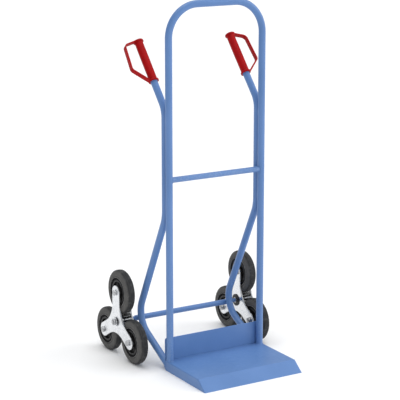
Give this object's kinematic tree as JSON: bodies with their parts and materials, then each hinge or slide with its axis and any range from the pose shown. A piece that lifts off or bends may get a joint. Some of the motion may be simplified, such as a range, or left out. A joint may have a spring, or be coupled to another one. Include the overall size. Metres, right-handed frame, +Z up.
{
  "type": "stair-climbing sack truck",
  "caption": "Tall tubular sack truck for stairs: folded toe plate, tilted guarded grips on the side rails, and a turning star of wheels on each side.",
  "frame": {"origin": "on the floor, in the middle of the truck's box", "axes": "+Z up; -Y towards the front, the way the toe plate reaches; +X to the truck's right side as named, across the axle"},
  "size_m": [0.5918, 0.6604, 1.3],
  "materials": {
    "blue_paint": "semi-gloss powder coat",
    "red_plastic": "satin moulded plastic",
    "zinc_plate": "bright zinc plating",
    "axle_steel": "zinc plated, slightly dull",
    "tyre_rubber": "matt solid rubber",
    "black_plastic": "satin moulded plastic"
  },
  "bodies": {
    "frame": {"main_frame": "blue_paint", "mid_crossbar": "blue_paint", "axle_crossbar": "blue_paint", "toe_plate": "blue_paint", "back_plate": "blue_paint", "left_side_rail": "blue_paint", "right_side_rail": "blue_paint", "axle_shaft": "axle_steel", "left_grip": "red_plastic", "left_inner_clip": "axle_steel", "left_outer_washer": "zinc_plate", "left_axle_nut": "axle_steel", "right_grip": "red_plastic", "right_inner_clip": "axle_steel", "right_outer_washer": "zinc_plate", "right_axle_nut": "axle_steel"},
    "left_star": {"left_outer_plate": "zinc_plate", "left_inner_plate": "zinc_plate", "left_hub_tube": "zinc_plate", "left_outer_bush": "black_plastic", "left_inner_bush": "black_plastic", "left_bolt_1": "axle_steel", "left_nut_1": "axle_steel", "left_sleeve_1": "axle_steel", "left_bolt_2": "axle_steel", "left_nut_2": "axle_steel", "left_sleeve_2": "axle_steel", "left_bolt_3": "axle_steel", "left_nut_3": "axle_steel", "left_sleeve_3": "axle_steel"},
    "right_star": {"right_outer_plate": "zinc_plate", "right_inner_plate": "zinc_plate", "right_hub_tube": "zinc_plate", "right_outer_bush": "black_plastic", "right_inner_bush": "black_plastic", "right_bolt_1": "axle_steel", "right_nut_1": "axle_steel", "right_sleeve_1": "axle_steel", "right_bolt_2": "axle_steel", "right_nut_2": "axle_steel", "right_sleeve_2": "axle_steel", "right_bolt_3": "axle_steel", "right_nut_3": "axle_steel", "right_sleeve_3": "axle_steel"},
    "left_wheel_1": {"left_tyre_1": "tyre_rubber", "left_rim_1": "black_plastic"},
    "left_wheel_2": {"left_tyre_2": "tyre_rubber", "left_rim_2": "black_plastic"},
    "left_wheel_3": {"left_tyre_3": "tyre_rubber", "left_rim_3": "black_plastic"},
    "right_wheel_1": {"right_tyre_1": "tyre_rubber", "right_rim_1": "black_plastic"},
    "right_wheel_2": {"right_tyre_2": "tyre_rubber", "right_rim_2": "black_plastic"},
    "right_wheel_3": {"right_tyre_3": "tyre_rubber", "right_rim_3": "black_plastic"}
  },
  "joints": [
    {"name": "left_star_turn", "type": "hinge", "parent": "frame", "child": "left_star", "pos_m": [-0.257, 0.1558, 0.1345], "axis": [1, 0, 0], "continuous": true},
    {"name": "left_wheel_1_spin", "type": "hinge", "parent": "left_star", "child": "left_wheel_1", "pos_m": [-0.257, 0.1558, 0.2435], "axis": [1, 0, 0], "continuous": true},
    {"name": "left_wheel_2_spin", "type": "hinge", "parent": "left_star", "child": "left_wheel_2", "pos_m": [-0.257, 0.06141, 0.08], "axis": [1, 0, 0], "continuous": true},
    {"name": "left_wheel_3_spin", "type": "hinge", "parent": "left_star", "child": "left_wheel_3", "pos_m": [-0.257, 0.2502, 0.08], "axis": [1, 0, 0], "continuous": true},
    {"name": "right_star_turn", "type": "hinge", "parent": "frame", "child": "right_star", "pos_m": [0.257, 0.1558, 0.1345], "axis": [1, 0, 0], "continuous": true},
    {"name": "right_wheel_1_spin", "type": "hinge", "parent": "right_star", "child": "right_wheel_1", "pos_m": [0.257, 0.1558, 0.2435], "axis": [1, 0, 0], "continuous": true},
    {"name": "right_wheel_2_spin", "type": "hinge", "parent": "right_star", "child": "right_wheel_2", "pos_m": [0.257, 0.06141, 0.08], "axis": [1, 0, 0], "continuous": true},
    {"name": "right_wheel_3_spin", "type": "hinge", "parent": "right_star", "child": "right_wheel_3", "pos_m": [0.257, 0.2502, 0.08], "axis": [1, 0, 0], "continuous": true}
  ]
}
